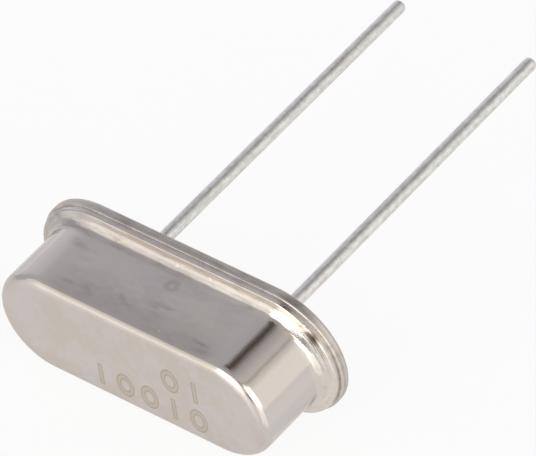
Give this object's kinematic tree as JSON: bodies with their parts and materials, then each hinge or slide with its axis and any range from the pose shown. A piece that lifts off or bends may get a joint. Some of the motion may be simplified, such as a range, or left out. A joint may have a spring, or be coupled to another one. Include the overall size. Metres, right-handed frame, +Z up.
{
  "type": "crystal oscillator",
  "caption": "Low quartz crystal for an oscillator: drawn obround metal can welded to a flanged base, with glass-sealed wire leads, lying on its side.",
  "frame": {"origin": "on the table under the middle of the lying crystal's bounding box", "axes": "+X along the can and from the left lead to the right lead, +Y from the can's top towards the lead tips (level), +Z up from the table"},
  "size_m": [0.011, 0.0164, 0.0046],
  "materials": {
    "can_nickel": "satin nickel plate",
    "base_nickel": "satin nickel plate",
    "seal_glass": "dark opaque sealing glass",
    "lead_tin": "dipped tin, slightly uneven",
    "spring_nickel": "rolled strip",
    "quartz": "lapped quartz",
    "electrode_silver": "evaporated silver film",
    "silver_adhesive": "silver-filled adhesive"
  },
  "bodies": {
    "root": {"can": "can_nickel", "base": "base_nickel", "glass_seal_left": "seal_glass", "glass_seal_right": "seal_glass", "lead_left": "lead_tin", "lead_right": "lead_tin", "support_spring_left": "spring_nickel", "support_spring_right": "spring_nickel", "quartz_blank": "quartz", "electrode_upper": "electrode_silver", "electrode_lower": "electrode_silver", "adhesive_left": "silver_adhesive", "adhesive_right": "silver_adhesive"}
  },
  "joints": []
}
